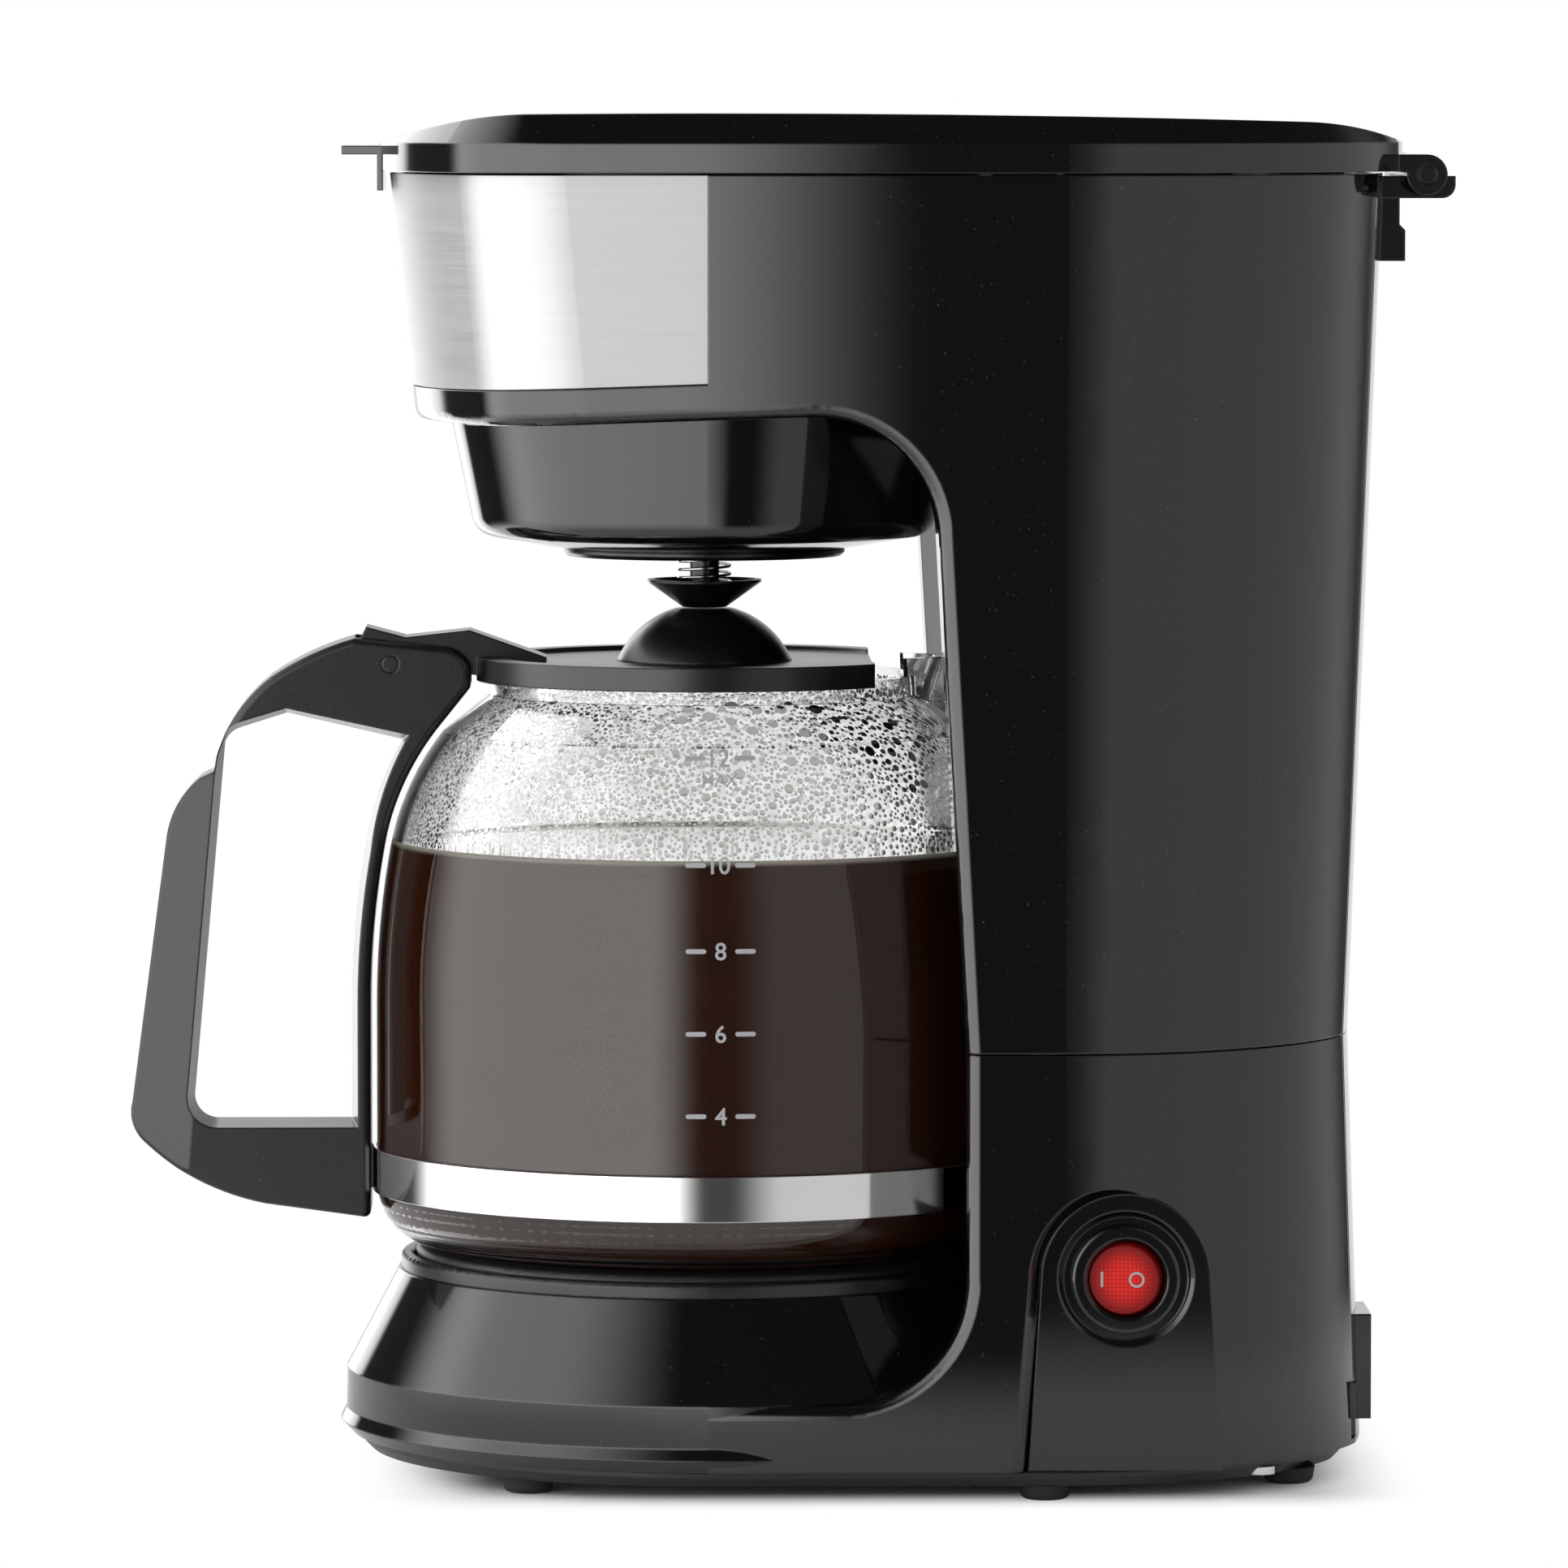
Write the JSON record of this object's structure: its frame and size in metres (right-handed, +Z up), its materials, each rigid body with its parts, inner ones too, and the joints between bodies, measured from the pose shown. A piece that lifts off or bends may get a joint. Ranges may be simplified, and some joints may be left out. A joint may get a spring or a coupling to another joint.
{
  "type": "drip coffee maker",
  "caption": "Drip coffee maker with a hinged lid over tank and filter basket, steel-wrapped head, drip stop, warming plate, side rocker switch and a glass carafe.",
  "frame": {"origin": "on the surface it stands on, at the middle of the whole width and depth", "axes": "+Z up, front with the carafe handle towards -Y, switch side towards +X"},
  "size_m": [0.1788, 0.2999, 0.3076],
  "materials": {
    "black_gloss": "moulded, polished",
    "black_satin": "moulded, fine satin grain",
    "brushed_panel": "brushed along its length",
    "bright_steel": "polished",
    "foot_rubber": "soft matte",
    "hose_silicone": "translucent silicone",
    "tube_plastic": "moulded",
    "plate_coating": "non-stick coating",
    "heater_alloy": "as cast",
    "red_lens": "clear red, lit from inside",
    "clear_glass": "clear, blown",
    "coffee": "brewed coffee",
    "mark_print": "fired print"
  },
  "bodies": {
    "maker": {"base_housing": "black_gloss", "base_screws": "bright_steel", "bottom_cover": "black_satin", "brew_bowl": "black_gloss", "check_valve": "tube_plastic", "cord_gland": "foot_rubber", "filter_basket": "black_satin", "foot_1": "foot_rubber", "foot_2": "foot_rubber", "foot_3": "foot_rubber", "foot_4": "foot_rubber", "foot_5": "foot_rubber", "foot_6": "foot_rubber", "front_panel": "brushed_panel", "heating_element": "heater_alloy", "inlet_hose": "hose_silicone", "lid_hinge_pin": "black_satin", "outlet_hose": "hose_silicone", "plate_ring": "black_satin", "riser_tube": "tube_plastic", "spray_arm": "black_satin", "switch_bezel": "black_gloss", "switch_body": "black_satin", "thermostat": "bright_steel", "upper_housing": "black_gloss", "valve_plate": "black_satin", "valve_spring": "bright_steel", "warming_plate": "plate_coating"},
    "lid": {"lid": "black_gloss"},
    "rocker": {"switch_rocker": "red_lens"},
    "drip_stop": {"valve_stem": "black_satin", "valve_cup": "black_satin", "valve_seal": "foot_rubber"},
    "carafe": {"carafe_glass": "clear_glass", "carafe_band": "bright_steel", "band_screw": "bright_steel", "carafe_handle": "black_satin", "carafe_lid": "black_satin", "lid_dome": "black_satin", "carafe_hinge_pin": "black_satin"}
  },
  "joints": [
    {"name": "lid_hinge", "type": "hinge", "parent": "maker", "child": "lid", "pos_m": [0, 0.143, 0.2937], "axis": [-1, 0, 0], "range_deg": [0, 100]},
    {"name": "rocker_tilt", "type": "hinge", "parent": "maker", "child": "rocker", "pos_m": [0.0765, 0.0735, 0.05], "axis": [0, 0, 1], "range_deg": [0, 16]},
    {"name": "carafe_slide", "type": "slide", "parent": "maker", "child": "carafe", "axis": [0, -1, 0], "range_m": [0, 0.2]},
    {"name": "valve_drop", "type": "slide", "parent": "maker", "child": "drip_stop", "axis": [0, 0, 1], "range_m": [-0.0024, 0], "deforming": ["valve_spring"]}
  ],
  "couplings": [
    {"joint": "valve_drop", "follows": "carafe_slide", "ratio": -0.012}
  ]
}
